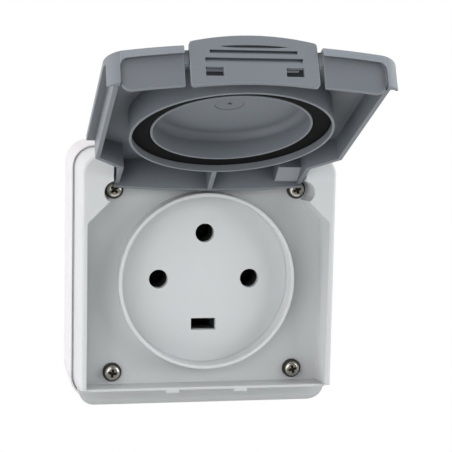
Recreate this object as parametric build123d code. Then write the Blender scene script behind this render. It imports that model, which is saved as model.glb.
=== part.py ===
from build123d import *
import math
import os

os.makedirs("parts", exist_ok=True)

# Frame: X to the right, Z up, the wall is the plane Y = 0 and the socket faces -Y.
# "out" is a distance in front of the wall, so Y = -out. The socket axis is X = Z = 0.
# All sizes are in millimetres.

# Cover: the front half of the housing
cover_width = 93.2
cover_height = 94.4
cover_corner = 7.5
cover_front = 56.0            # front edges of the side walls
cover_wall = 2.2
cover_edge_round = 1.4
panel_depth = 11.6            # panel behind the front edges
panel_thickness = 2.5
recess_draft = 4.1            # degrees, on the walls round the panel
hinge_corner_drop = 25.1      # side walls meet the hinge corners this far below the top
ear_width = 11.4              # hinge ears, from the cover's side
side_wall_end = 0.3           # below the ledge's top
chin_setback = 10.0           # front below the ledge, behind the side walls
chin_round = 3.5              # rounded lower front edge
top_bevel = 1.5               # panel's top edge, behind the opened lid
ear_pocket_depth = 7.5        # cored out from behind

# Ledge and catch noses for the latch
ledge_height = 8.7            # its top above the cover's bottom
ledge_thickness = 1.0         # at its front edge
ledge_rise = 0.6              # its top climbs towards the front
ledge_setback = 1.2           # behind the side walls' front
nose_spacing = 25.3
nose_width = 4.7
nose_height = 1.1
nose_length = 2.0

# Box: the rear half, on the wall
box_lip = 1.6                 # stands outside the cover all round
box_depth = 27.0
box_wall = 3.6
box_floor = 2.5
box_edge_round = 0.8
lip_gap = 0.7                 # between the lip and the cover's side
rebate_depth = 1.2            # the cover sits this deep inside the lip
parting_gap = 0.6
seal_width = 1.4
seal_groove_depth = 1.0
seal_inset = 0.5              # seal behind the cover's outer face
seal_clearance = 0.1
post_radius = 4.2
post_overlap = 5.4            # posts inside the cover
wall_hole_inset = 10.8        # from the box's top and bottom
wall_hole_radius = 2.3
wall_pad_radius = 5.0
wall_pad_height = 3.5

# Cable entry in the bottom wall
entry_radius = 8.0
entry_clearance = 0.1
grommet_flange_radius = 10.5
grommet_flange_thickness = 2.0
grommet_nose_length = 1.5
grommet_nose_radius = 7.2
cable_radius = 5.0

# Cover screws with sealing washers
screw_side_inset = 12.6       # from the cover's outline
screw_top_inset = 13.8
screw_bottom_inset = 12.7
screw_shank_radius = 1.5
screw_head_radius = 2.75
screw_head_height = 2.1
screw_reach = 27.0
screw_hole_radius = 1.75
thread_clearance = 0.05
cross_width = 0.8
cross_length = 3.2
cross_depth = 1.0
washer_radius = 3.5
washer_thickness = 0.8
counterbore_radius = 3.9
counterbore_shift = 0.6       # into the hinge ear

# Socket face and the rim round it
rim_radius = 32.0             # middle of the rim's crest
rim_wall = 1.3
rim_height = 7.5              # in front of the panel
rim_round = 0.45
face_clearance = 0.1
face_thickness = 3.0
face_rim_wall = 2.6
face_flange_overlap = 4.0
face_flange_thickness = 1.7
face_seal_thickness = 0.8
face_seal_inset = 0.3
pin_circle = 17.1
pin_hole_radius = 3.5
earth_slot_width = 9.3
earth_slot_height = 4.4

# Contacts and their carrier
carrier_flange_thickness = 3.0
carrier_hub_radius = 27.0
carrier_hub_depth = 10.5
carrier_lobe_radius = 4.5
carrier_boss_radius = 3.0
carrier_boss_clearance = 0.3
carrier_screw_angle = 25.0    # degrees above and below the middle
carrier_pad_gap = 0.2         # pad behind the face
carrier_pad_clearance = 0.3   # pad inside the face's wall
carrier_screw_radius = 1.45
carrier_screw_head_radius = 2.6
carrier_screw_head_height = 1.8
carrier_screw_bite = 3.8
tube_outer_radius = 4.2
tube_bore_radius = 3.1
contact_setback = 6.0         # contacts behind the pad's front
contact_bore_depth = 7.0
contact_clearance = 0.05
pin_way_clearance = 0.4       # round a plug's pin in the carrier
terminal_size = 9.0
terminal_depth = 8.0
terminal_round = 0.8
wire_hole_radius = 1.9
terminal_screw_radius = 1.5
terminal_screw_head_radius = 2.7
terminal_screw_head_height = 2.0
terminal_slot_width = 0.8
terminal_slot_depth = 0.9
earth_leaf_width = 8.6
earth_leaf_thickness = 0.9
clamp_thickness = 0.9
clamp_size = 6.4

# Hinge
hinge_drop = 5.87             # axis below the cover's top
hinge_setback = 2.6           # axis behind the side walls' front
hinge_pin_radius = 1.5
hinge_pin_length = 9.0
hinge_pin_setback = 0.6       # pin's inner end behind the arm's inner face
hinge_clearance = 0.05
open_angle = 116.14            # degrees, the open pose in which the part is stored

# Lid, sized in the shut position
lid_gap = 0.35
lid_wall = 1.6
lid_plate = 2.0
lid_rise = 7.0                # crest of the domed skin in front of the side walls
lid_crown_radius = 280.0
lid_tip_lift = 4.6            # tip above the cover's bottom
lid_tip_wall = 2.8
lid_corner = 6.0
lid_edge_round = 1.3
lid_overhang_gap = 0.4        # flange in front of the side walls
lid_side_setback = 0.2        # flange inside the cover's outline
skirt_depth = 6.3             # skirt's free edge behind the side walls' front
hinge_wall_depth = 8.6
hinge_wall_arch = 1.3
tip_band = 13.2               # height of the tip wall
corner_block_depth = 7.0
wing_recess = 1.5
wing_border = 3.0
wing_side_border = 4.6
wing_corner = 2.6
wing_foot_round = 3.5
bay_wall_clearance = 1.0      # wall behind the latch, in front of the ledge
ledge_clearance = 0.3
outer_ring_gap = 2.3          # outside the rim's crest
outer_ring_wall = 0.8
outer_ring_depth = 6.2
inner_ring_gap = 4.8          # inside the rim's crest
inner_ring_wall = 0.8
dish_round = 3.0
gate_radius = 5.0
gate_depth = 0.3              # shallow round recess in the dish
gate_pip_radius = 0.55
gate_pip_height = 0.5
hinge_rib = 1.6
stop_block_width = 8.4
stop_block_rise = 3.2         # its thickness at the skin
stop_block_depth = 5.4

# Gasket in the lid
gasket_clearance = 0.15
gasket_gap = 0.1              # in front of the rim when shut
gasket_thickness = 3.6
gasket_rib = 1.2
gasket_rib_count = 12

# Latch on the lid's tip
latch_half = 20.2
latch_thickness = 1.5
latch_side_gap = 1.75         # to the lid's wings
latch_setback = 1.3           # outer face inside the lid's tip
latch_corner_rise = 0.65      # upper corners in front of the lid's crest
latch_arch = 2.45
latch_foot_drop = 5.1         # foot behind the middle of the windows
latch_foot_arch = 1.4
latch_corner_round = 1.2
window_width = 5.6
window_height = 2.95
groove_depth = 1.15           # at the upper edge of each groove
groove_rows = ((30.8, 1.8, 6.15), (27.7, 1.3, 3.25))   # length, height, drop of the middle
lens_length = 22.3
lens_height = 1.15
lens_drop = 1.4               # drops are taken from the upper corners
latch_pivot_depth = 1.7       # behind the outer face
latch_pivot_drop = 5.15
latch_knuckle_radius = 1.7
latch_knuckle_length = 4.4
latch_pin_radius = 0.75
latch_pin_length = 6.4
latch_pin_depth = 3.2         # inside the latch's ends
lug_gap = 0.2
lug_width = 3.2
lug_height = 4.4
lug_thickness = 2.1

# Places worked out from the sizes above
panel_out = cover_front - panel_depth
panel_back = panel_out - panel_thickness
cover_half = cover_width / 2
cover_top = cover_height / 2
cover_back = box_depth - rebate_depth + parting_gap
chamfer_corner_z = cover_top - hinge_corner_drop
ear_half = cover_half - ear_width
chin_out = cover_front - chin_setback
ledge_top = -cover_top + ledge_height
ledge_front = cover_front - ledge_setback
side_wall_end_z = ledge_top - side_wall_end
recess_half = cover_half - cover_wall
rim_outer = rim_radius + rim_wall / 2
rim_inner = rim_radius - rim_wall / 2
rim_out = panel_out + rim_height
ledge_under = ledge_top - ledge_thickness
box_width = cover_width + 2 * box_lip
box_height = cover_height + 2 * box_lip
box_corner = cover_corner + box_lip
box_bottom_z = -box_height / 2
post_top = cover_back + post_overlap
wall_hole_spacing = box_height - 2 * wall_hole_inset
entry_out = box_depth / 2
screw_x = cover_half - screw_side_inset
screw_top_z = cover_top - screw_top_inset
screw_bottom_z = -cover_top + screw_bottom_inset
washer_front = panel_out + washer_thickness
face_radius = rim_inner - face_clearance
face_flange_radius = rim_inner + face_flange_overlap
face_flange_back = panel_back - face_seal_thickness - face_flange_thickness
face_back = panel_out - face_thickness
carrier_screw_circle = face_flange_radius + carrier_boss_clearance + carrier_boss_radius
carrier_back = face_flange_back - carrier_flange_thickness
hub_back = carrier_back - carrier_hub_depth
terminal_back = hub_back - terminal_depth
pad_front = face_back - carrier_pad_gap
pad_radius = face_radius - face_rim_wall - carrier_pad_clearance
contact_front = pad_front - contact_setback
screw_spots = [
    (side * screw_x, z) for side in (-1, 1) for z in (screw_bottom_z, screw_top_z)
]
pin_spots = {
    "contact_top": (0, pin_circle),
    "contact_left": (-pin_circle, 0),
    "contact_right": (pin_circle, 0),
}
earth_spot = (0, -pin_circle)
terminal_spots = [*pin_spots.values(), earth_spot]
carrier_x = carrier_screw_circle * math.cos(math.radians(carrier_screw_angle))
carrier_z = carrier_screw_circle * math.sin(math.radians(carrier_screw_angle))
carrier_spots = [(x, z) for x in (-carrier_x, carrier_x) for z in (-carrier_z, carrier_z)]
wall_spots = [(0, -wall_hole_spacing / 2), (0, wall_hole_spacing / 2)]
hinge_z = cover_top - hinge_drop
hinge_out = cover_front - hinge_setback
hinge_axis = Axis((0, -hinge_out, hinge_z), (1, 0, 0))
draft_slope = math.tan(math.radians(recess_draft))
lid_inset = skirt_depth * draft_slope + lid_gap
lid_half = cover_half - lid_side_setback
lid_out = cover_front + lid_rise
lid_top_z = cover_top
lid_tip_z = -cover_top + lid_tip_lift
wing_end = lid_half - wing_side_border
outer_ring_radius = rim_radius + outer_ring_gap
inner_ring_radius = rim_radius - inner_ring_gap
dish_radius = inner_ring_radius - inner_ring_wall
arm_half = ear_half - lid_inset
arm_inner = arm_half - lid_wall
tip_inner_z = lid_tip_z + lid_tip_wall
block_top_z = side_wall_end_z - ledge_clearance
gasket_out = rim_out + gasket_gap
gasket_back = gasket_out + gasket_thickness
latch_outer_z = lid_tip_z + latch_setback
latch_inner_z = latch_outer_z + latch_thickness
latch_corner_out = lid_out + latch_corner_rise
latch_bay_half = latch_half + latch_side_gap
latch_bay_floor_z = ledge_top + ledge_clearance
window_out = ledge_front - nose_length / 2
latch_foot_out = window_out - latch_foot_drop
latch_pivot_z = latch_outer_z + latch_pivot_depth
latch_pivot_out = latch_corner_out - latch_pivot_drop
latch_pin_inner = latch_half - latch_pin_depth
reach = cover_width + cover_height      # longer than any cut


# Working planes and helpers
def front(out):
    return Plane(origin=(0, -out, 0), x_dir=(1, 0, 0), z_dir=(0, -1, 0))


def level(z):
    return Plane(origin=(0, 0, z), x_dir=(1, 0, 0), z_dir=(0, 0, -1))


def across(x):
    return Plane(origin=(x, 0, 0), x_dir=(0, 0, 1), z_dir=(1, 0, 0))


def slab(sketch, near, far):
    # sketch in X and Z, between two distances in front of the wall
    return extrude(front(near) * sketch, far - near)


def bar(sketch, top, bottom):
    # sketch in X and out, between two heights
    return extrude(level(top) * sketch, top - bottom)


def web(sketch, left, right):
    # sketch in Z and out, between two sides
    return extrude(across(left) * sketch, right - left)


def polygon(points):
    return make_face(Polyline(*points, close=True))


def block(x0, x1, y0, y1):
    return Pos((x0 + x1) / 2, (y0 + y1) / 2) * Rectangle(x1 - x0, y1 - y0)


def discs(spots, radius):
    return Sketch() + [Pos(*spot) * Circle(radius) for spot in spots]


def both_sides(part):
    return part + mirror(part, Plane.YZ)


def save(part, name):
    export_step(part, f"parts/{name}.step")


# Cover
def recess_profile(inset, top, bottom):
    # opening in front of the panel, with 45 degree corners below the hinge ears
    side = recess_half - inset
    ear = ear_half - inset
    corner = chamfer_corner_z - inset * (math.sqrt(2) - 1)
    right = [(side, bottom), (side, corner), (ear, corner + side - ear), (ear, top)]
    left = [(-x, z) for x, z in reversed(right)]
    return polygon(right + left)


def make_cover():
    outline = RectangleRounded(cover_width, cover_height, cover_corner)
    body = slab(outline, cover_back, cover_front)
    body = fillet(body.faces().sort_by(Axis.Y)[0].outer_wire().edges(), cover_edge_round)
    recess = recess_profile(0, reach, ledge_under - panel_depth * draft_slope)
    body -= extrude(front(cover_front) * recess, -panel_depth, taper=recess_draft)
    body -= slab(block(-reach, reach, -reach, side_wall_end_z), chin_out, cover_front)
    chin = block(-cover_top, -cover_top + chin_round, chin_out - chin_round, chin_out)
    chin -= Pos(-cover_top + chin_round, chin_out - chin_round) * Circle(chin_round)
    body -= web(chin, -reach, reach)
    bevel = polygon(
        [(cover_top, panel_out), (cover_top - top_bevel, panel_out), (cover_top, panel_out - top_bevel)]
    )
    body -= web(bevel, -ear_half + cover_wall, ear_half - cover_wall)

    hollow = RectangleRounded(
        cover_width - 2 * cover_wall, cover_height - 2 * cover_wall, cover_corner - cover_wall
    )
    body -= slab(hollow, cover_back, panel_back)
    pocket = block(
        screw_x + counterbore_shift + counterbore_radius + cover_wall,
        recess_half,
        chamfer_corner_z + 2 * cover_wall,
        cover_top - cover_wall,
    )
    body -= both_sides(slab(pocket, panel_back, panel_back + ear_pocket_depth))

    ledge_side = polygon(
        [
            (ledge_under, panel_out),
            (ledge_top - ledge_rise, panel_out),
            (ledge_top, ledge_front),
            (ledge_under, ledge_front),
        ]
    )
    ledge = web(ledge_side, -recess_half, recess_half)
    nose_x = nose_spacing / 2
    nose = block(nose_x - nose_width / 2, nose_x + nose_width / 2, ledge_under - nose_height, ledge_under)
    body += ledge + both_sides(slab(nose, ledge_front - nose_length, ledge_front))

    rim = fillet(slab(Circle(rim_outer), panel_back, rim_out).edges().group_by(Axis.Y)[0], rim_round)
    body += rim
    body -= slab(Circle(rim_inner), panel_back, rim_out)

    body += slab(discs(screw_spots, post_radius), post_top, panel_back)
    body -= slab(discs(screw_spots, screw_hole_radius), post_top, panel_out)
    counterbore = Pos(screw_x + counterbore_shift, screw_top_z) * Circle(counterbore_radius)
    body -= both_sides(slab(counterbore, panel_out, cover_front))
    body += slab(discs(carrier_spots, carrier_boss_radius), face_flange_back, panel_back)
    bite = face_flange_back + carrier_screw_bite
    body -= slab(discs(carrier_spots, carrier_screw_radius + thread_clearance), face_flange_back, bite)
    pin_end = arm_inner + hinge_pin_setback + hinge_pin_length + hinge_clearance
    pin_hole = Pos(hinge_z, hinge_out) * Circle(hinge_pin_radius + hinge_clearance)
    return body - web(pin_hole, -pin_end, pin_end)


# Box, its seal and its cable entry
def box_ring(inset):
    return RectangleRounded(cover_width - 2 * inset, cover_height - 2 * inset, cover_corner - inset)


def make_box():
    body = slab(RectangleRounded(box_width, box_height, box_corner), 0, box_depth)
    rims = body.faces().sort_by(Axis.Y)
    body = fillet(rims[0].outer_wire().edges() + rims[-1].outer_wire().edges(), box_edge_round)
    inside = RectangleRounded(box_width - 2 * box_wall, box_height - 2 * box_wall, box_corner - box_wall)
    body -= slab(inside, box_floor, box_depth)
    rebate_floor = box_depth - rebate_depth
    body -= slab(box_ring(-lip_gap), rebate_floor, box_depth)
    inner = seal_inset + seal_width
    groove = box_ring(seal_inset - seal_clearance) - box_ring(inner + seal_clearance)
    body -= slab(groove, rebate_floor - seal_groove_depth, rebate_floor)
    body += slab(discs(screw_spots, post_radius), box_floor, post_top)
    body -= slab(
        discs(screw_spots, screw_shank_radius + thread_clearance), washer_front - screw_reach, post_top
    )
    body += slab(discs(wall_spots, wall_pad_radius), box_floor, box_floor + wall_pad_height)
    body -= slab(discs(wall_spots, wall_hole_radius), 0, box_floor + wall_pad_height)
    return body - bar(Pos(0, entry_out) * Circle(entry_radius), 0, -reach)


def make_box_seal():
    ring = box_ring(seal_inset) - box_ring(seal_inset + seal_width)
    return slab(ring, cover_back - parting_gap - seal_groove_depth, cover_back)


def make_grommet():
    neck = entry_radius - entry_clearance
    nose_end = box_bottom_z - grommet_flange_thickness - grommet_nose_length
    inner_face = box_bottom_z + box_wall
    half_section = polygon(
        [
            (cable_radius, nose_end),
            (grommet_nose_radius, nose_end),
            (neck, box_bottom_z - grommet_flange_thickness),
            (grommet_flange_radius, box_bottom_z - grommet_flange_thickness),
            (grommet_flange_radius, box_bottom_z),
            (neck, box_bottom_z),
            (neck, inner_face),
            (neck + grommet_flange_thickness / 2, inner_face),
            (neck, inner_face + grommet_flange_thickness),
            (cable_radius, inner_face + grommet_flange_thickness),
        ]
    )
    return Pos(0, -entry_out, 0) * revolve(Plane.XZ * half_section, Axis.Z)


# Fasteners
def pan_head_screw(radius, head_radius, head_height, length):
    # head on the +Z side of its seat, shank below it
    head = Cylinder(head_radius, head_height, align=(Align.CENTER, Align.CENTER, Align.MIN))
    head = fillet(head.edges().group_by(Axis.Z)[-1], head_height / 2)
    return head + Cylinder(radius, length, align=(Align.CENTER, Align.CENTER, Align.MAX))


def make_cover_screws():
    screw = pan_head_screw(screw_shank_radius, screw_head_radius, screw_head_height, screw_reach)
    for size in ((cross_length, cross_width), (cross_width, cross_length)):
        cut = Box(*size, cross_depth, align=(Align.CENTER, Align.CENTER, Align.MAX))
        screw -= Pos(0, 0, screw_head_height) * cut
    return Compound([front(washer_front) * Pos(*spot) * screw for spot in screw_spots])


def make_washers():
    ring = Circle(washer_radius) - Circle(screw_hole_radius)
    return Compound([slab(Pos(*spot) * ring, panel_out, washer_front) for spot in screw_spots])


def make_carrier_screws():
    length = carrier_flange_thickness + carrier_screw_bite
    screw = pan_head_screw(
        carrier_screw_radius, carrier_screw_head_radius, carrier_screw_head_height, length
    )
    seat = Plane(origin=(0, -carrier_back, 0), x_dir=(1, 0, 0), z_dir=(0, 1, 0))
    return Compound([seat * Pos(*spot) * screw for spot in carrier_spots])


# Socket face, contacts and their carrier
def make_socket_face():
    face = slab(Circle(face_radius), face_flange_back, panel_out)
    flange_front = face_flange_back + face_flange_thickness
    face += slab(Circle(face_flange_radius), face_flange_back, flange_front)
    face -= slab(Circle(face_radius - face_rim_wall), face_flange_back, face_back)
    face -= slab(discs(pin_spots.values(), pin_hole_radius), face_back, panel_out)
    slot = Pos(*earth_spot) * Rectangle(earth_slot_width, earth_slot_height)
    return face - slab(slot, face_back, panel_out)


def make_face_seal():
    ring = Circle(face_flange_radius - face_seal_inset) - Circle(rim_inner + face_seal_inset)
    return slab(ring, panel_back - face_seal_thickness, panel_back)


def make_carrier():
    # flange behind the face, pad inside it, hub for the contacts
    plate = Circle(face_flange_radius) + discs(carrier_spots, carrier_lobe_radius)
    carrier = slab(plate, carrier_back, face_flange_back)
    carrier += slab(Circle(pad_radius), face_flange_back, pad_front)
    carrier += slab(Circle(carrier_hub_radius), hub_back, carrier_back)
    pins = discs(pin_spots.values(), pin_hole_radius + pin_way_clearance)
    carrier -= slab(pins, contact_front, pad_front)
    tubes = discs(pin_spots.values(), tube_outer_radius + contact_clearance)
    carrier -= slab(tubes, hub_back, contact_front)
    play = 2 * contact_clearance
    slot = Rectangle(earth_slot_width + play, earth_slot_height + play)
    carrier -= slab(Pos(*earth_spot) * slot, contact_front, pad_front)
    leaves = Rectangle(earth_leaf_width + play, earth_slot_height + 2 * earth_leaf_thickness + play)
    carrier -= slab(Pos(*earth_spot) * leaves, hub_back, contact_front)
    shank = discs(carrier_spots, carrier_screw_radius + thread_clearance)
    return carrier - slab(shank, carrier_back, face_flange_back)


def make_terminal(spot):
    # clamp block behind the hub: the wire comes in from the side, the screw from the back
    square = Pos(*spot) * RectangleRounded(terminal_size, terminal_size, terminal_round)
    terminal = slab(square, terminal_back, hub_back)
    middle = (terminal_back + hub_back) / 2
    wire = Pos(spot[1], middle) * Circle(wire_hole_radius)
    terminal -= web(wire, -reach, reach)
    screw_hole = Pos(*spot) * Circle(terminal_screw_radius + thread_clearance)
    return terminal - slab(screw_hole, terminal_back, middle)


def make_contact(spot):
    tube = slab(Pos(*spot) * Circle(tube_outer_radius), hub_back, contact_front)
    bore_end = contact_front - contact_bore_depth
    tube -= slab(Pos(*spot) * Circle(tube_bore_radius), bore_end, contact_front)
    return tube + make_terminal(spot)


def make_earth_contact():
    gap = earth_slot_height
    outer = gap + 2 * earth_leaf_thickness
    channel = slab(Pos(*earth_spot) * Rectangle(earth_leaf_width, outer), hub_back, contact_front)
    bore_end = contact_front - contact_bore_depth
    channel -= slab(Pos(*earth_spot) * Rectangle(earth_leaf_width, gap), bore_end, contact_front)
    return channel + make_terminal(earth_spot)


def make_terminal_screws():
    depth = (hub_back - terminal_back) / 2 - clamp_thickness
    screw = pan_head_screw(
        terminal_screw_radius, terminal_screw_head_radius, terminal_screw_head_height, depth
    )
    from_top = (Align.CENTER, Align.CENTER, Align.MAX)
    slot = Box(reach, terminal_slot_width, terminal_slot_depth, align=from_top)
    screw -= Pos(0, 0, terminal_screw_head_height) * slot
    seat = Plane(origin=(0, -terminal_back + clamp_thickness, 0), x_dir=(1, 0, 0), z_dir=(0, 1, 0))
    return Compound([seat * Pos(x, -z) * screw for x, z in terminal_spots])


def make_clamps():
    ring = Rectangle(clamp_size, clamp_size) - Circle(terminal_screw_radius + thread_clearance)
    near = terminal_back - clamp_thickness
    return Compound([slab(Pos(*spot) * ring, near, terminal_back) for spot in terminal_spots])


# Lid, drawn shut and then turned open about the hinge
def crowned(drop, half_width=reach, top=reach, bottom=-reach):
    # everything behind the domed skin, lowered by a drop
    dome = Pos(0, lid_out - drop - lid_crown_radius) * Circle(lid_crown_radius)
    return bar(dome & block(-half_width, half_width, 0, reach), top, bottom)


def lid_outline():
    flange_top = chamfer_corner_z - lid_inset * (math.sqrt(2) - 1)
    body = fillet(
        block(-lid_half, lid_half, lid_tip_z, flange_top).vertices().group_by(Axis.Y)[0], lid_corner
    )
    return body + recess_profile(lid_inset, lid_top_z, lid_tip_z + lid_corner)


def lid_shell():
    skirt_edge = cover_front - skirt_depth
    lowest = lid_out - 2 * tip_band
    body = slab(lid_outline(), lowest, reach) & crowned(0, lid_half)
    skin = body.faces().filter_by(GeomType.CYLINDER).sort_by(SortBy.AREA)[-1]
    body = fillet(skin.outer_wire().edges(), lid_edge_round)

    # flange in front of the side walls, skirt inside them, hollow behind the skin
    overhang = block(-reach, reach, block_top_z, reach) - recess_profile(lid_inset, reach, -reach)
    body -= slab(overhang, 0, cover_front + lid_overhang_gap)
    hollow = recess_profile(lid_inset + lid_wall, lid_top_z - lid_wall, tip_inner_z)
    body -= slab(hollow, 0, reach) & crowned(lid_plate)

    # free edges: skirt, ledge notch, arched hinge wall, tip wall and its corner blocks
    hinge_wall_z = lid_top_z - lid_wall
    notch_top = ledge_top + ledge_clearance
    body -= bar(block(-reach, reach, 0, skirt_edge), hinge_wall_z, notch_top)
    notch_half = recess_half + ledge_clearance
    notch = block(-notch_half, notch_half, 0, ledge_front + ledge_clearance)
    body -= bar(notch, notch_top, tip_inner_z)
    arch_radius = (arm_half**2 + hinge_wall_arch**2) / (2 * hinge_wall_arch)
    arch = Pos(0, cover_front - hinge_wall_depth + arch_radius) * Circle(arch_radius)
    body -= bar(block(-reach, reach, 0, cover_front) - arch, reach, hinge_wall_z)
    body -= crowned(tip_band, reach, tip_inner_z)
    foot_x = wing_end - wing_foot_round
    sag = lid_crown_radius - math.sqrt(lid_crown_radius**2 - foot_x**2)
    foot_out = lid_out - tip_band - sag + wing_foot_round
    side_block = block(foot_x, wing_end, 0, foot_out) - Pos(foot_x, foot_out) * Circle(wing_foot_round)
    side_block += block(wing_end, reach, 0, cover_front - corner_block_depth)
    body -= both_sides(bar(side_block, block_top_z, -reach))

    # bay for the latch, with a wall behind it and a lug at each end, between two recessed wings
    bay = block(-latch_bay_half, latch_bay_half, 0, reach)
    body -= bar(bay, latch_bay_floor_z, -reach)
    wall_half = latch_half - latch_knuckle_length - bay_wall_clearance
    bay_wall = block(-wall_half, wall_half, ledge_front + bay_wall_clearance, reach)
    bay_wall = bar(bay_wall, latch_bay_floor_z + lid_wall, latch_bay_floor_z)
    body += bay_wall & crowned(lid_plate / 2)
    lug_inner = latch_half + lug_gap
    lug_foot = latch_pivot_out - lug_height / 2
    lug = block(lug_inner, lug_inner + lug_width, lug_foot, lug_foot + lug_height)
    lug_top = latch_pivot_z + lug_thickness / 2
    body += both_sides(bar(lug, lug_top, lug_top - lug_thickness) & crowned(lid_plate / 2))
    dome = Pos(0, lid_out - wing_border - lid_crown_radius) * Circle(lid_crown_radius)
    wing = dome & block(latch_bay_half, wing_end, 0, reach)
    wing = fillet(wing.vertices().group_by(Axis.X)[-1].sort_by(Axis.Y)[-1:], wing_corner)
    return body - both_sides(bar(wing, lid_tip_z + wing_recess, -reach))


def make_lid():
    body = lid_shell()
    root = crowned(lid_plate / 2)
    outer = Circle(outer_ring_radius) - Circle(outer_ring_radius - outer_ring_wall)
    body += slab(outer, cover_front - outer_ring_depth, reach) & root
    inner = Circle(inner_ring_radius) - Circle(dish_radius)
    body += slab(inner, rim_out, reach) & root
    dish_wall = body.faces().filter_by(lambda f: f.radius and math.isclose(f.radius, dish_radius))
    body = fillet(dish_wall.edges().sort_by(Axis.Y)[0], dish_round)

    # ribs that carry the gasket between the two rings
    rib_end = outer_ring_radius - outer_ring_wall / 2
    rib = block(inner_ring_radius - inner_ring_wall / 2, rib_end, -gasket_rib / 2, gasket_rib / 2)
    ribs = [Rot(0, 0, k * 360 / gasket_rib_count) * rib for k in range(gasket_rib_count)]
    body += slab(Sketch() + ribs, gasket_back, reach) & root

    # rib and stop block on the hinge wall, gate mark in the dish
    wall_z = lid_top_z - lid_wall
    ring_z = outer_ring_radius - outer_ring_wall
    rib_side = polygon(
        [
            (ring_z, cover_front - outer_ring_depth),
            (wall_z, cover_front - hinge_wall_depth),
            (wall_z, reach),
            (ring_z, reach),
        ]
    )
    body += web(rib_side, -hinge_rib / 2, hinge_rib / 2) & root
    stop_left = arm_inner - stop_block_width
    stop_top = wall_z - stop_block_rise
    stop_edge = cover_front - stop_block_depth
    stop_end = stop_left + stop_block_rise
    plan = polygon([(stop_left, wall_z), (stop_end, stop_top), (arm_inner, stop_top), (arm_inner, wall_z)])
    ramp = polygon([(wall_z, stop_edge), (stop_top, lid_out), (wall_z, lid_out)])
    body += slab(plan, stop_edge, lid_out) & web(ramp, stop_left, arm_inner) & root
    gate_floor = lid_out - lid_plate + gate_depth
    body -= slab(Circle(gate_radius), gate_floor - lid_plate, gate_floor)
    body += slab(Circle(gate_pip_radius), gate_floor - gate_pip_height, lid_out - lid_plate / 2)

    # holes for the pins of the latch and of the hinge
    latch_pin_end = latch_pin_inner + latch_pin_length
    latch_pin = Pos(latch_pivot_z, latch_pivot_out) * Circle(latch_pin_radius)
    body -= web(latch_pin, -latch_pin_end, latch_pin_end)
    hinge_pin = Pos(hinge_z, hinge_out) * Circle(hinge_pin_radius + hinge_clearance)
    blind_end = arm_inner + hinge_pin_setback - hinge_clearance
    return body - both_sides(web(hinge_pin, blind_end, arm_half))


def make_gasket():
    ring = Circle(outer_ring_radius - outer_ring_wall - gasket_clearance)
    ring -= Circle(inner_ring_radius + gasket_clearance)
    return slab(ring, gasket_out, gasket_back)


def grip_groove(length, height, drop):
    upper = latch_corner_out - drop + height / 2
    floor = [
        (latch_outer_z + groove_depth, upper),
        (latch_outer_z - groove_depth, upper),
        (latch_outer_z - groove_depth, upper - 2 * height),
    ]
    return web(polygon(floor), -length / 2, length / 2)


def make_latch():
    top_radius = (latch_half**2 + latch_arch**2) / (2 * latch_arch)
    foot_radius = (latch_half**2 + latch_foot_arch**2) / (2 * latch_foot_arch)
    plate = block(-latch_half, latch_half, latch_foot_out, latch_corner_out + latch_arch)
    plate &= Pos(0, latch_corner_out + latch_arch - top_radius) * Circle(top_radius)
    plate -= Pos(0, latch_foot_out + latch_foot_arch - foot_radius) * Circle(foot_radius)
    plate = fillet(plate.vertices(), latch_corner_round)
    window = Pos(nose_spacing / 2, window_out) * Rectangle(window_width, window_height)
    latch = bar(plate - window - mirror(window, Plane.YZ), latch_inner_z, latch_outer_z)
    knuckle = Pos(latch_pivot_z, latch_pivot_out) * Circle(latch_knuckle_radius)
    knuckle &= block(latch_inner_z - latch_thickness / 2, reach, 0, reach)
    latch += both_sides(web(knuckle, latch_half - latch_knuckle_length, latch_half))

    # grip grooves, deepest at their upper edge, the last one lens-shaped
    lens_radius = (lens_length**2 + lens_height**2) / (4 * lens_height)
    lens_shift = lens_radius - lens_height / 2
    lens_out = latch_corner_out - lens_drop
    lens = Pos(0, lens_out - lens_shift) * Circle(lens_radius)
    lens &= Pos(0, lens_out + lens_shift) * Circle(lens_radius)
    latch -= bar(lens, latch_inner_z, latch_outer_z) & grip_groove(lens_length, lens_height, lens_drop)
    for row in groove_rows:
        latch -= grip_groove(*row)

    pin = Pos(latch_pivot_z, latch_pivot_out) * Circle(latch_pin_radius + hinge_clearance)
    return latch - both_sides(web(pin, latch_pin_inner - hinge_clearance, latch_half))


def make_latch_pins():
    pin = Pos(latch_pivot_z, latch_pivot_out) * Circle(latch_pin_radius)
    right = web(pin, latch_pin_inner, latch_pin_inner + latch_pin_length)
    return Compound([right, mirror(right, Plane.YZ)])


def make_hinge_pin(side):
    start = arm_inner + hinge_pin_setback
    pin = Pos(hinge_z, hinge_out) * Circle(hinge_pin_radius)
    right = web(pin, start, start + hinge_pin_length)
    return right if side > 0 else mirror(right, Plane.YZ)


def opened(part):
    return part.rotate(hinge_axis, -open_angle)


save(make_box(), "back_box")
save(make_box_seal(), "box_seal")
save(make_grommet(), "cable_grommet")
save(make_cover(), "front_cover")
save(make_cover_screws(), "cover_screws")
save(make_washers(), "screw_washers")
save(make_socket_face(), "socket_face")
save(make_face_seal(), "face_seal")
save(make_carrier(), "contact_carrier")
save(make_carrier_screws(), "carrier_screws")
for contact_name, contact_spot in pin_spots.items():
    save(make_contact(contact_spot), contact_name)
save(make_earth_contact(), "earth_contact")
save(make_terminal_screws(), "terminal_screws")
save(make_clamps(), "wire_clamps")
save(make_hinge_pin(-1), "hinge_pin_left")
save(make_hinge_pin(1), "hinge_pin_right")
save(opened(make_lid()), "lid")
save(opened(make_gasket()), "lid_gasket")
save(opened(make_latch()), "latch")
save(opened(make_latch_pins()), "latch_pins")
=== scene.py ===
import bmesh
import bpy
import math
from mathutils import Matrix, Vector


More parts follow.
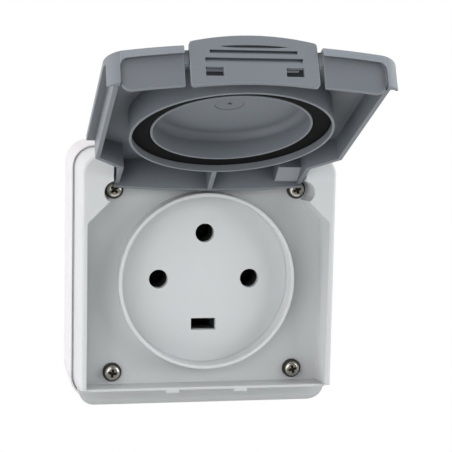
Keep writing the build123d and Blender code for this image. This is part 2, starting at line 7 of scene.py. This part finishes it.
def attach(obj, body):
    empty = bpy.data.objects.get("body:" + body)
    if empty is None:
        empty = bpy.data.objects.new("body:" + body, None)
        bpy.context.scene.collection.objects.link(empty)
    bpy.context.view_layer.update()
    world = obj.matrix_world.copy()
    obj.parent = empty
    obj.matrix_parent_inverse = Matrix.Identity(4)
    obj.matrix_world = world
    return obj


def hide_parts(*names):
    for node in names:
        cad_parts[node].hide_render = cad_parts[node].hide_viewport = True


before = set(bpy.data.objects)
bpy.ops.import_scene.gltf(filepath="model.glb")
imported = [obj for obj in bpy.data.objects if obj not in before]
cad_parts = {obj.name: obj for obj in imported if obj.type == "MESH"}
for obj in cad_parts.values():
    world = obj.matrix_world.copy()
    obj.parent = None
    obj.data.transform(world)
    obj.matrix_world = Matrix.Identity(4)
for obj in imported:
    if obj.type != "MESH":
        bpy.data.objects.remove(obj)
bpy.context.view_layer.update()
mm = 0.001


# selection and editing helpers
def clearSelection():
    if bpy.context.object and bpy.context.object.mode != "OBJECT":
        bpy.ops.object.mode_set(mode="OBJECT")
    bpy.ops.object.select_all(action="DESELECT")


def pick(*chosen):
    clearSelection()
    for piece in chosen:
        piece.select_set(True)
    bpy.context.view_layer.objects.active = chosen[0]


def enterEdit(piece, kind, action):
    pick(piece)
    bpy.ops.object.mode_set(mode="EDIT")
    bpy.ops.mesh.select_mode(type=kind)
    bpy.ops.mesh.select_all(action=action)


def leaveEdit():
    bpy.ops.object.mode_set(mode="OBJECT")


def chooseFaces(piece, test):
    enterEdit(piece, "FACE", "DESELECT")
    leaveEdit()
    for face in piece.data.polygons:
        face.select = test(face)
    bpy.ops.object.mode_set(mode="EDIT")


def bakePlace(piece):
    pick(piece)
    bpy.ops.object.transform_apply(location=True, rotation=True, scale=True)


def settle(piece, matrix):
    piece.matrix_world = matrix
    bakePlace(piece)


def joinInto(piece, *extras):
    pick(piece, *extras)
    bpy.ops.object.join()


def applyModifier(piece, kind, **settings):
    modifier = piece.modifiers.new(kind.lower(), kind)
    for key, value in settings.items():
        setattr(modifier, key, value)
    pick(piece)
    bpy.ops.object.modifier_apply(modifier=modifier.name)


def smooth(piece, degrees):
    pick(piece)
    bpy.ops.object.shade_smooth_by_angle(angle=math.radians(degrees))


def paint(piece, material):
    piece.data.materials.clear()
    piece.data.materials.append(material)


# shader maths: a wire is a socket that can be added, multiplied and so on
class Wire:
    def __init__(self, finish, socket):
        self.finish = finish
        self.socket = socket

    def calc(self, operation, first, second):
        return self.finish.node("ShaderNodeMath", {"operation": operation}, {0: first, 1: second})

    def __add__(self, other):
        return self.calc("ADD", self, other)

    def __radd__(self, other):
        return self.calc("ADD", other, self)

    def __sub__(self, other):
        return self.calc("SUBTRACT", self, other)

    def __rsub__(self, other):
        return self.calc("SUBTRACT", other, self)

    def __mul__(self, other):
        return self.calc("MULTIPLY", self, other)

    def __rmul__(self, other):
        return self.calc("MULTIPLY", other, self)

    def __pow__(self, other):
        return self.calc("POWER", self, other)


shaderSamples = 6  # rays of the edge and corner nodes
noiseMiddle = 0.5  # a noise swings round this value


class Finish:
    def __init__(self, name, tree=None):
        if tree is None:
            self.material = bpy.data.materials.new(name)
            self.material.use_nodes = True
            tree = self.material.node_tree
        self.tree = tree
        self.tree.nodes.clear()

    def node(self, kind, settings=None, sockets=None, out=0):
        made = self.tree.nodes.new(kind)
        for key, value in (settings or {}).items():
            if key == "stops":
                for element, (place, grey) in zip(made.color_ramp.elements, value):  # a new ramp has two stops
                    element.position = place
                    element.color = (grey, grey, grey, 1.0)
            else:
                setattr(made, key, value)
        for key, value in (sockets or {}).items():
            if isinstance(value, Wire):
                self.tree.links.new(value.socket, made.inputs[key])
            else:
                made.inputs[key].default_value = value
        return Wire(self, made.outputs[out]) if made.outputs else made

    def place(self):
        return self.node("ShaderNodeTexCoord", out="Object")

    def noise(self, scale, detail, roughness=0.5):
        values = {"Vector": self.place(), "Scale": scale, "Detail": detail, "Roughness": roughness}
        return self.node("ShaderNodeTexNoise", {}, values)

    def tint(self, factor, first, second):
        shades = {"Factor": factor}
        for socket, colour in ((6, first), (7, second)):  # 6 and 7 are the colour sockets
            shades[socket] = colour if isinstance(colour, Wire) else (*colour, 1.0)
        return self.node("ShaderNodeMix", {"data_type": "RGBA"}, shades, 2)

    def openness(self, reach):
        settings = {"samples": shaderSamples, "only_local": True}
        return self.node("ShaderNodeAmbientOcclusion", settings, {"Distance": reach * mm}, "AO")

    def rounded(self, radius):
        return self.node("ShaderNodeBevel", {"samples": shaderSamples}, {"Radius": radius * mm})

    def sharpness(self, soft):
        flat = self.node("ShaderNodeNewGeometry", out="Normal")
        return 1 - self.node("ShaderNodeVectorMath", {"operation": "DOT_PRODUCT"}, {0: soft, 1: flat}, "Value")

    def heightBlend(self, span):
        height = self.node("ShaderNodeSeparateXYZ", {}, {0: self.place()}, "Z")
        low, high = span["none"] * mm, span["full"] * mm
        reach = {"Value": height, "From Min": low, "From Max": high, "To Max": span["amount"]}
        return self.node("ShaderNodeMapRange", {}, reach)

    def bump(self, height, strength, depth, normal=None):
        values = {"Height": height, "Strength": strength, "Distance": depth * mm}
        if normal:
            values["Normal"] = normal
        return self.node("ShaderNodeBump", {}, values)

    def close(self, **values):
        sockets = {key.replace("_", " "): value for key, value in values.items()}
        shader = self.node("ShaderNodeBsdfPrincipled", {}, sockets)
        self.node("ShaderNodeOutputMaterial", {}, {"Surface": shader})
        return self.material


# moulded plastic: fine mould grain, slow colour drift, painted shade in corners, pale edges that are partly wear
# and partly painted highlight
plasticLook = {  # each noise: scale, detail and, where it is not even, roughness
    "drift": (38.0, 3.0), "speckle": (2400.0, 2.0), "speckleShare": 0.25,
    "cornerShadeReach": 8.0, "cornerShadeColour": (0.02, 0.022, 0.025),
    "edgeRadius": 0.4, "edgeWearHighlightStrength": 3.0, "edgeWearHighlightReach": 4.0, "edgeWearHighlightPower": 3.0,
    "polish": (90.0, 4.0), "polishSwing": 0.16,
    "fineGrain": (2900.0, 3.0, 0.6), "coarseGrain": (900.0, 2.0), "coarseShare": 0.3, "grainDepth": 0.06,
}


def mouldedPlastic(name, dark, light, roughness, grain, gloss=0.42, cornerShade=0.0, shade=None, edgeWearAndHighlight=None):
    look = plasticLook
    finish = Finish(name)
    drift = finish.noise(*look["drift"])
    speckle = finish.noise(*look["speckle"])
    colour = finish.tint(drift * (1 - look["speckleShare"]) + speckle * look["speckleShare"], dark, light)
    # painted shade: darker where the shape closes in round a point, in corners and hollows, standing in for the
    # shade that falls there
    if cornerShade:
        corners = 1 - finish.openness(look["cornerShadeReach"])
        colour = finish.tint(corners * cornerShade, colour, look["cornerShadeColour"])
    # painted shade: the colour darkens across a band of heights
    if shade:
        colour = finish.tint(finish.heightBlend(shade), colour, shade["colour"])
    soft = finish.rounded(look["edgeRadius"])
    # painted highlight, partly wear: convex edges turn paler, standing in for the sheen that catches them
    if edgeWearAndHighlight:
        outer = finish.openness(look["edgeWearHighlightReach"]) ** look["edgeWearHighlightPower"]  # inner corners keep their colour
        colour = finish.tint(finish.sharpness(soft) * look["edgeWearHighlightStrength"] * outer, colour, edgeWearAndHighlight)
    polish = finish.noise(*look["polish"])
    fine = finish.noise(*look["fineGrain"])
    coarse = finish.noise(*look["coarseGrain"])
    texture = fine * (1 - look["coarseShare"]) + coarse * look["coarseShare"]
    return finish.close(
        Base_Color=colour,
        Roughness=(polish - noiseMiddle) * look["polishSwing"] + roughness,
        Normal=finish.bump(texture, grain, look["grainDepth"], soft),
        Specular_IOR_Level=gloss,
    )


# moulded rubber: cloudy bloom on a dull skin
rubberLook = {
    "bloom": (160.0, 4.0), "bloomSwing": 0.2,
    "grain": (1500.0, 3.0), "grainStrength": 0.2, "grainDepth": 0.05,
}


def mouldedRubber(name, dark, light, roughness, gloss=0.2):
    look = rubberLook
    finish = Finish(name)
    bloom = finish.noise(*look["bloom"])
    grain = finish.noise(*look["grain"])
    return finish.close(
        Base_Color=finish.tint(bloom, dark, light),
        Roughness=(bloom - noiseMiddle) * look["bloomSwing"] + roughness,
        Normal=finish.bump(grain, look["grainStrength"], look["grainDepth"]),
        Specular_IOR_Level=gloss,
    )


# plated metal: worn plating with fine scratches
metalLook = {"wear": (620.0, 4.0, 0.65), "wearSwing": 0.2, "scratch": (2600.0, 2.0), "scratchDepth": 0.03}


def platedMetal(name, dark, light, roughness, scratch):
    look = metalLook
    finish = Finish(name)
    wear = finish.noise(*look["wear"])
    return finish.close(
        Base_Color=finish.tint(wear, dark, light),
        Metallic=1.0,
        Roughness=(wear - noiseMiddle) * look["wearSwing"] + roughness,
        Normal=finish.bump(finish.noise(*look["scratch"]), scratch, look["scratchDepth"]),
    )


# painted shade: darker towards the bottom of the housing and the box, and towards the top of the lid's tip recess
# under its border; heights at rest, in millimetres
footShadeColour = (0.16, 0.165, 0.165)
footShade = {"none": -37.0, "full": -48.0, "amount": 0.5, "colour": footShadeColour}
boxFootShade = {"none": -37.0, "full": -48.0, "amount": 0.3, "colour": footShadeColour}
recessTopShadow = {"none": 77.0, "full": 88.5, "amount": 0.5, "colour": (0.06, 0.066, 0.072)}
# pale edges: partly wear, partly painted highlight
wornAndLitEdge = (0.42, 0.44, 0.47)
finishes = {
    "housing": mouldedPlastic(
        "housing_plastic", (0.56, 0.577, 0.579), (0.61, 0.618, 0.619), 0.5, 0.16, gloss=0.18, shade=footShade
    ),
    "box": mouldedPlastic(
        "box_plastic", (0.642, 0.63, 0.64), (0.69, 0.678, 0.688), 0.5, 0.16, gloss=0.18, shade=boxFootShade
    ),
    # the lid carries painted shade in its corners and pale edges, partly wear and partly painted highlight
    "lid": mouldedPlastic(
        "lid_plastic", (0.168, 0.185, 0.205), (0.195, 0.211, 0.231), 0.46, 0.2, cornerShade=0.9, edgeWearAndHighlight=wornAndLitEdge
    ),
    # painted light and shade: the stop's end and the tip border are lighter copies of the lid plastic, the tip
    # recess a darker copy
    "stopEndLit": mouldedPlastic("stop_end_lit_plastic", (0.27, 0.285, 0.31), (0.31, 0.325, 0.35), 0.4, 0.1),
    "tipBorderLit": mouldedPlastic(
        "tip_border_lit_plastic", (0.225, 0.246, 0.272), (0.262, 0.283, 0.309), 0.4, 0.15, edgeWearAndHighlight=wornAndLitEdge
    ),
    "tipRecessShaded": mouldedPlastic(
        "tip_recess_shaded_plastic", (0.144, 0.158, 0.174), (0.168, 0.181, 0.197), 0.5, 0.3,
        gloss=0.3, shade=recessTopShadow, edgeWearAndHighlight=wornAndLitEdge,
    ),
    "gasket": mouldedRubber("gasket_rubber", (0.002, 0.002, 0.002), (0.004, 0.004, 0.004), 0.7, gloss=0.08),
    "washer": mouldedRubber("washer_rubber", (0.03, 0.031, 0.032), (0.055, 0.056, 0.056), 0.55),
    "greySeal": mouldedRubber("seal_rubber", (0.2, 0.205, 0.205), (0.27, 0.275, 0.27), 0.6),
    # painted light: the box seal is a paler copy of the seal rubber, lightening the shade in the parting gap
    "sealLip": mouldedRubber("lip_rubber_lightened", (0.44, 0.445, 0.45), (0.5, 0.505, 0.51), 0.6),
    "blackPlastic": mouldedPlastic("black_plastic", (0.05, 0.052, 0.052), (0.065, 0.067, 0.067), 0.6, 0.1),
    "screw": platedMetal("screw_steel", (0.42, 0.39, 0.34), (0.62, 0.58, 0.51), 0.24, 0.12),
    "pin": platedMetal("pin_steel", (0.4, 0.39, 0.38), (0.55, 0.54, 0.52), 0.3, 0.1),
    # painted shade: near-black steel for the inside of the screws' cross recess
    "recess": platedMetal("recess_steel_shaded", (0.05, 0.04, 0.034), (0.1, 0.085, 0.07), 0.5, 0.1),
    # painted shade: the contacts are near black, for the shade deep in the pin holes
    "brass": platedMetal("contact_brass_shaded", (0.022, 0.02, 0.016), (0.034, 0.03, 0.024), 0.6, 0.1),
}
print("finishes ready:", len(finishes))

# socket face: its edge fills the rim, so no dark line shows round it
faceEdge = {"radius": 31.25, "grown": 31.33, "within": 0.1}


def closeFaceEdge(piece):
    radius = faceEdge["radius"] * mm
    within = faceEdge["within"] * mm
    chooseFaces(piece, lambda face: abs(math.hypot(face.center.x, face.center.z) - radius) < within)
    growth = faceEdge["grown"] / faceEdge["radius"]
    bpy.ops.transform.resize(value=(growth, 1.0, growth))
    leaveEdit()


# box seal: the soft lip that fills the gap round the cover
sealLip = {
    "width": 94.3, "height": 95.3, "corner": 8.15, "cornerSteps": 14,
    "wall": 0.6, "floor": 25.8, "rise": 0.85,  # the floor's distance is from the wall
}


def addSealLip(piece):
    clearSelection()
    bpy.ops.mesh.primitive_plane_add(size=1.0)
    lip = bpy.context.object
    lip.scale = (sealLip["width"] * mm, sealLip["height"] * mm, 1.0)
    bakePlace(lip)
    enterEdit(lip, "VERT", "SELECT")
    bpy.ops.mesh.bevel(offset=sealLip["corner"] * mm, segments=sealLip["cornerSteps"], affect="VERTICES")
    bpy.ops.mesh.select_all(action="SELECT")
    bpy.ops.mesh.inset(thickness=sealLip["wall"] * mm)
    bpy.ops.mesh.delete(type="ONLY_FACE")  # the middle goes, the frame stays
    bpy.ops.mesh.select_all(action="SELECT")
    bpy.ops.mesh.extrude_region_move(TRANSFORM_OT_translate={"value": (0, 0, sealLip["rise"] * mm)})
    bpy.ops.mesh.select_all(action="SELECT")
    bpy.ops.mesh.normals_make_consistent(inside=False)
    leaveEdit()
    upright = Matrix.Rotation(math.pi / 2, 4, "X")
    settle(lip, Matrix.Translation(Vector((0, -sealLip["floor"] * mm, 0))) @ upright)
    joinInto(piece, lip)


# stop block: square-sided, with a steep end, drawn on the shut lid and swung open with it
stopBlock = {
    "left": 24.4, "right": 33.0, "top": 45.8, "bottom": 37.6,
    "edge": 50.6, "foot": 53.0, "skin": 61.2,  # distances from the wall
}
lidSwing = {"out": 53.4, "height": 41.33, "open": 116.14}  # the hinge's place, and the angle at rest


def lidTurn():
    hinge = Matrix.Translation(Vector((0, -lidSwing["out"], lidSwing["height"])) * mm)
    return hinge @ Matrix.Rotation(-math.radians(lidSwing["open"]), 4, "X") @ hinge.inverted()


def addStopBlock(piece):
    low = Vector((stopBlock["left"], -stopBlock["skin"], stopBlock["bottom"]))
    high = Vector((stopBlock["right"], -stopBlock["edge"], stopBlock["top"]))
    clearSelection()
    bpy.ops.mesh.primitive_cube_add(size=1.0)
    block = bpy.context.object
    block.scale = (high - low) * mm
    block.location = (low + high) / 2 * mm
    bakePlace(block)
    enterEdit(block, "VERT", "SELECT")
    drop = stopBlock["foot"] - stopBlock["edge"]
    slope = Vector((0, high.z - low.z, -drop)).normalized()
    corner = (0, high.y * mm, high.z * mm)
    bpy.ops.mesh.bisect(plane_co=corner, plane_no=slope, use_fill=True, clear_outer=True)
    bpy.ops.mesh.select_all(action="SELECT")
    bpy.ops.mesh.normals_make_consistent(inside=False)
    leaveEdit()
    settle(block, lidTurn())
    joinInto(piece, block)


# painted light and shade on the lid: lighter copies of its plastic on the tip border and on the stop's end, a
# darker copy in the tip recess; which way they face on the shut lid, and between which corners they lie
lidPatches = {
    "tipBorderLit": {"facing": (0, 0, -1), "low": (-47.0, -70.0, -42.8), "high": (47.0, -40.0, -42.4)},
    "tipRecessShaded": {"facing": (0, 0, -1), "low": (-47.0, -70.0, -41.3), "high": (47.0, -40.0, -40.9)},
    "stopEndLit": {"facing": (0, 0.96, -0.28), "low": (24.0, -53.5, 37.0), "high": (33.0, -50.0, 46.0)},
}
sameWay = 0.9  # how well a face's normal has to agree with a direction


def paintPatches(piece):
    shut = lidTurn().inverted()
    for finishName, patch in lidPatches.items():
        facing = Vector(patch["facing"])
        piece.data.materials.append(finishes[finishName])
        for face in piece.data.polygons:
            place = (shut @ face.center) / mm
            inside = all(low < at < high for low, at, high in zip(patch["low"], place, patch["high"]))
            if inside and (shut.to_3x3() @ face.normal).dot(facing) > sameWay:
                face.material_index = len(piece.data.materials) - 1


# soft edges: sharp edges in whole runs, where the faces beside them have room for the bevel
edgeChoice = {"sharp": 38, "bend": 35, "room": 1.2, "height": 1.05}  # two angles, then two counts of bevel widths


def hasRoom(loop, width):
    following = loop.link_loop_next
    for corner, side in ((loop, loop.link_loop_prev.edge), (following, following.edge)):
        length = side.calc_length()
        turn = corner.calc_angle()
        narrow = turn < math.pi / 2 and length * math.sin(turn) < edgeChoice["height"] * width
        if narrow or length < edgeChoice["room"] * width:
            return False
    return loop.edge.calc_length() > edgeChoice["room"] * width


def sharpRuns(shape):
    limit = math.radians(edgeChoice["sharp"])
    bend = math.radians(edgeChoice["bend"])
    left = {edge for edge in shape.edges if len(edge.link_faces) == 2 and edge.calc_face_angle() > limit}
    while left:
        run = [left.pop()]
        for edge in run:  # the run grows while it is followed
            for corner in edge.verts:
                way = corner.co - edge.other_vert(corner).co
                for other in corner.link_edges:
                    if other in left and way.angle(other.other_vert(corner).co - corner.co, math.pi) < bend:
                        left.discard(other)
                        run.append(other)
        yield run


def softenEdges(piece, width, segments):
    shape = bmesh.new()
    shape.from_mesh(piece.data)
    chosen = []
    for run in sharpRuns(shape):
        if all(hasRoom(loop, width) for edge in run for loop in edge.link_loops):
            chosen += [edge.index for edge in run]
    shape.free()
    enterEdit(piece, "EDGE", "DESELECT")
    leaveEdit()
    for index in chosen:
        piece.data.edges[index].select = True
    bpy.ops.object.mode_set(mode="EDIT")
    bpy.ops.mesh.bevel(offset=width, segments=segments, affect="EDGES", clamp_overlap=False)
    leaveEdit()


# mouldings: the CAD shape with the soft edges that a mould leaves
mouldings = {
    "front_cover": {"edge": 0.2, "segments": 3, "finish": "housing", "slot": "housing_grey", "body": "housing"},
    "back_box": {"edge": 0.25, "segments": 3, "finish": "box", "slot": "housing_grey", "body": "housing"},
    "socket_face": {"edge": 0.04, "segments": 2, "finish": "housing", "slot": "housing_grey", "body": "housing"},
    "box_seal": {"edge": 0.1, "segments": 2, "finish": "sealLip", "slot": "seal_grey", "body": "housing"},
    "lid": {"edge": 0.15, "segments": 3, "finish": "lid", "slot": "lid_grey", "body": "lid"},
    "latch": {"edge": 0.15, "segments": 3, "finish": "lid", "slot": "lid_grey", "body": "latch"},
    "lid_gasket": {"edge": 0.35, "segments": 3, "finish": "gasket", "slot": "seal_black", "body": "lid"},
}
additions = {"socket_face": closeFaceEdge, "box_seal": addSealLip, "lid": addStopBlock}
patches = {"lid": paintPatches}
meshCare = {"merge": 0.002, "flat": 0.6, "smooth": 30}  # millimetres, degrees, degrees


def softEdged(node, settings):
    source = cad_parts[node]
    piece = source.copy()
    piece.data = source.data.copy()
    for key in list(piece.keys()):  # the copy is no CAD node
        del piece[key]
    piece.parent = None
    piece.name = node + "_moulded"
    bpy.context.scene.collection.objects.link(piece)
    enterEdit(piece, "VERT", "SELECT")
    bpy.ops.mesh.remove_doubles(threshold=meshCare["merge"] * mm)
    bpy.ops.mesh.select_all(action="SELECT")
    bpy.ops.mesh.dissolve_limited(angle_limit=math.radians(meshCare["flat"]))
    leaveEdit()
    if node in additions:
        additions[node](piece)
    paint(piece, finishes[settings["finish"]])
    softenEdges(piece, settings["edge"] * mm, settings["segments"])
    if node in patches:
        patches[node](piece)
    smooth(piece, meshCare["smooth"])
    applyModifier(piece, "WEIGHTED_NORMAL", keep_sharp=True)  # flat faces stay flat beside the soft edges
    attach(piece, settings["body"])
    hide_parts(node)
    print("moulding", node, len(piece.data.polygons))


for node, settings in mouldings.items():
    softEdged(node, settings)

# cover screws: pan heads with a tapered cross recess, each left at its own angle by the driver
coverScrews = {
    "headRadius": 2.75, "wall": 1.15, "seat": 45.2, "shankRadius": 1.5, "shankLength": 27.0, "sides": 48,
    "dome": [(0.08, 0.26), (0.17, 0.24), (0.32, 0.2), (0.5, 0.14), (0.6, 0.08), (0.55, 0.03)],  # in, up
    "armLength": 3.1, "armWidth": 0.95, "recessDepth": 1.5, "taper": 0.55,
    "edge": 0.05, "edgeSteps": 2, "sharp": 40, "smooth": 32,
    "turns": {(-34.0, 33.4): 43, (34.0, 33.4): 19, (-34.0, -34.5): -9, (34.0, -34.5): 13},  # across, up: degrees
}
# painted shade: faces inside the cross recess take the dark recess steel
recessShadeLook = {"reach": 0.52, "steep": 0.85, "above": 0.1, "within": 0.1}  # which faces take the dark recess finish


def headTop(screw):
    return screw["wall"] + sum(up for _, up in screw["dome"])


def crossArm(screw, angle):
    depth = screw["recessDepth"] * mm
    clearSelection()
    bpy.ops.mesh.primitive_cube_add(size=1.0, location=(0, 0, headTop(screw) * mm - depth / 2))
    arm = bpy.context.object
    arm.scale = (screw["armLength"] * mm, screw["armWidth"] * mm, depth)
    bakePlace(arm)
    chooseFaces(arm, lambda face: face.normal.z < -sameWay)
    bpy.ops.transform.resize(value=(screw["taper"], screw["taper"], 1.0))
    chooseFaces(arm, lambda face: face.normal.z > sameWay)
    bpy.ops.mesh.extrude_region_move(TRANSFORM_OT_translate={"value": (0, 0, mm)})  # clear of the dome
    leaveEdit()
    arm.rotation_euler = (0, 0, angle)
    bakePlace(arm)
    return arm


def makeScrew(screw):
    wall = screw["wall"] * mm
    clearSelection()
    bpy.ops.mesh.primitive_cylinder_add(
        vertices=screw["sides"], radius=screw["headRadius"] * mm, depth=wall, location=(0, 0, wall / 2)
    )
    head = bpy.context.object
    bakePlace(head)
    chooseFaces(head, lambda face: face.normal.z > sameWay)
    for step, rise in screw["dome"]:
        bpy.ops.mesh.inset(thickness=step * mm)
        bpy.ops.transform.translate(value=(0, 0, rise * mm))
    chooseFaces(head, lambda face: face.normal.z < -sameWay)
    bpy.ops.mesh.inset(thickness=(screw["headRadius"] - screw["shankRadius"]) * mm)
    bpy.ops.mesh.extrude_region_move(TRANSFORM_OT_translate={"value": (0, 0, -screw["shankLength"] * mm)})
    leaveEdit()
    for angle in (0.0, math.pi / 2):
        arm = crossArm(screw, angle)
        applyModifier(head, "BOOLEAN", operation="DIFFERENCE", object=arm, solver="EXACT")
        bpy.data.objects.remove(arm)
    applyModifier(
        head, "BEVEL", width=screw["edge"] * mm, segments=screw["edgeSteps"],
        limit_method="ANGLE", angle_limit=math.radians(screw["sharp"]), use_clamp_overlap=True,
    )
    smooth(head, screw["smooth"])
    return head


def paintScrew(piece, screw):
    paint(piece, finishes["screw"])
    piece.data.materials.append(finishes["recess"])
    reach = screw["armLength"] * recessShadeLook["reach"]
    bottom = headTop(screw) - screw["recessDepth"]
    for face in piece.data.polygons:
        middle = face.center / mm
        side = face.normal.z < recessShadeLook["steep"] and middle.z > recessShadeLook["above"]
        low = abs(middle.z - bottom) < recessShadeLook["within"]
        face.material_index = 1 if middle.xy.length < reach and (side or low) else 0


def placeScrews(screw):
    master = makeScrew(screw)
    paintScrew(master, screw)
    placed = []
    for (across, height), turned in screw["turns"].items():
        copy = master.copy()
        copy.data = master.data.copy()
        bpy.context.scene.collection.objects.link(copy)
        upright = Matrix.Rotation(math.radians(90), 4, "X") @ Matrix.Rotation(math.radians(turned), 4, "Z")
        settle(copy, Matrix.Translation(Vector((across, -screw["seat"], height)) * mm) @ upright)
        placed.append(copy)
    bpy.data.objects.remove(master)
    joinInto(*placed)
    piece = bpy.context.object
    piece.name = "cover_screws_turned"
    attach(piece, "housing")
    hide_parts("cover_screws")
    print("screws", len(piece.data.polygons))


placeScrews(coverScrews)

# what stays as the CAD made it
plainNodes = {
    "cable_grommet": "greySeal",
    "screw_washers": "washer",
    "face_seal": "gasket",
    "contact_carrier": "blackPlastic",
    "carrier_screws": "pin",
    # the contacts take the near-black brass, painted shade
    "contact_top": "brass",
    "contact_left": "brass",
    "contact_right": "brass",
    "earth_contact": "brass",
    "terminal_screws": "pin",
    "wire_clamps": "pin",
    "hinge_pin_left": "blackPlastic",
    "hinge_pin_right": "blackPlastic",
    "latch_pins": "pin",
}
for node, finishName in plainNodes.items():
    paint(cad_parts[node], finishes[finishName])
print("plain nodes:", len(plainNodes))

# floor
floor = {"drop": 700.0, "size": 2.4, "colour": (0.78, 0.78, 0.77), "roughness": 0.9}
clearSelection()
bpy.ops.mesh.primitive_plane_add(size=floor["size"], location=(0, 0, -floor["drop"] * mm))
floorPlane = bpy.context.object
floorPlane.name = "floor"
paper = Finish("floor_paper")
paint(floorPlane, paper.close(Base_Color=(*floor["colour"], 1.0), Roughness=floor["roughness"]))

# studio air: white behind the object, darker in front of it and below
studio = {"frontToBack": [(0.45, 0.3), (0.55, 1.0)], "belowToAbove": [(0.31, 0.7), (0.35, 1.0)], "strength": 1.0}
sky = bpy.data.worlds.new("studio")
bpy.context.scene.world = sky
sky.use_nodes = True
air = Finish("studio_air", sky.node_tree)
compass = air.node("ShaderNodeTexCoord", out="Generated")
depth = air.node("ShaderNodeSeparateXYZ", {}, {0: compass}, "Y")
height = air.node("ShaderNodeSeparateXYZ", {}, {0: compass}, "Z")
# * 0.5 + 0.5 brings a direction from -1..1 to a ramp's 0..1
backdrop = air.node("ShaderNodeValToRGB", {"stops": studio["frontToBack"]}, {0: depth * 0.5 + 0.5})
ground = air.node("ShaderNodeValToRGB", {"stops": studio["belowToAbove"]}, {0: height * 0.5 + 0.5})
back = air.node("ShaderNodeBackground", {}, {"Color": backdrop * ground, "Strength": studio["strength"]})
air.node("ShaderNodeOutputWorld", {}, {"Surface": back})
print("floor and air ready")

# soft boxes round the object
softbox = {"aim": (0, -0.06, 0.01), "distance": 1.1, "size": 0.7}
lamps = {
    "near": {"azimuth": -30, "elevation": 15, "power": 3.1, "colour": (0.95, 0.98, 1.0)},
    "left": {"azimuth": -60, "elevation": 15, "power": 2.7, "colour": (1.0, 0.96, 0.98)},
    "sideLeft": {"azimuth": -90, "elevation": 15, "power": 2.3, "colour": (1.0, 0.95, 0.98)},
    "lowLeft": {"azimuth": -60, "elevation": -25, "power": 3.1, "colour": (0.95, 0.97, 1.0)},
    "highLeft": {"azimuth": -60, "elevation": 50, "power": 2.4, "colour": (1.0, 0.98, 0.99)},
    "right": {"azimuth": 60, "elevation": 15, "power": 7.2, "colour": (0.96, 0.98, 1.0)},
    "highRight": {"azimuth": 90, "elevation": 35, "power": 3.0, "colour": (0.96, 0.98, 1.0)},
    "rear": {"azimuth": 120, "elevation": 30, "power": 2.0, "colour": (0.96, 0.98, 1.0)},
}
for name, lamp in lamps.items():
    azimuth = math.radians(lamp["azimuth"])
    elevation = math.radians(lamp["elevation"])
    flat = math.cos(elevation)
    way = Vector((math.sin(azimuth) * flat, -math.cos(azimuth) * flat, math.sin(elevation)))
    clearSelection()
    bpy.ops.object.light_add(type="AREA", location=Vector(softbox["aim"]) + way * softbox["distance"])
    light = bpy.context.object
    light.name = name + "_softbox"
    light.data.size = softbox["size"]
    light.data.energy = lamp["power"]
    light.data.color = lamp["colour"]
    light.rotation_euler = (-way).to_track_quat("-Z", "Y").to_euler()
print("lamps:", len(lamps))

# camera at the photograph's view: degrees, millimetres, and the focal length in pixels of the frame
shot = {
    "yaw": 11.01, "pitch": 7.26, "roll": 1.17, "at": (-91.10, -553.14, 85.67),
    "focal": 1410.47, "frame": 452, "sensor": 36.0, "clip": 10.0,
}
turn = (
    Matrix.Rotation(math.radians(shot["roll"]), 3, "Y")
    @ Matrix.Rotation(math.radians(shot["pitch"]), 3, "X")
    @ Matrix.Rotation(math.radians(shot["yaw"]), 3, "Z")
)
clearSelection()
bpy.ops.object.camera_add()
camera = bpy.context.object
camera.name = "camera"
camera.data.sensor_width = shot["sensor"]
camera.data.lens = shot["focal"] / shot["frame"] * shot["sensor"]
camera.data.clip_start = shot["clip"] * mm
rows = Matrix((turn[0], turn[2], -Vector(turn[1])))
camera.matrix_world = Matrix.Translation(Vector(shot["at"]) * mm) @ rows.transposed().to_4x4()
bpy.context.scene.camera = camera
bpy.context.scene.view_settings.view_transform = "Standard"
print("camera set")
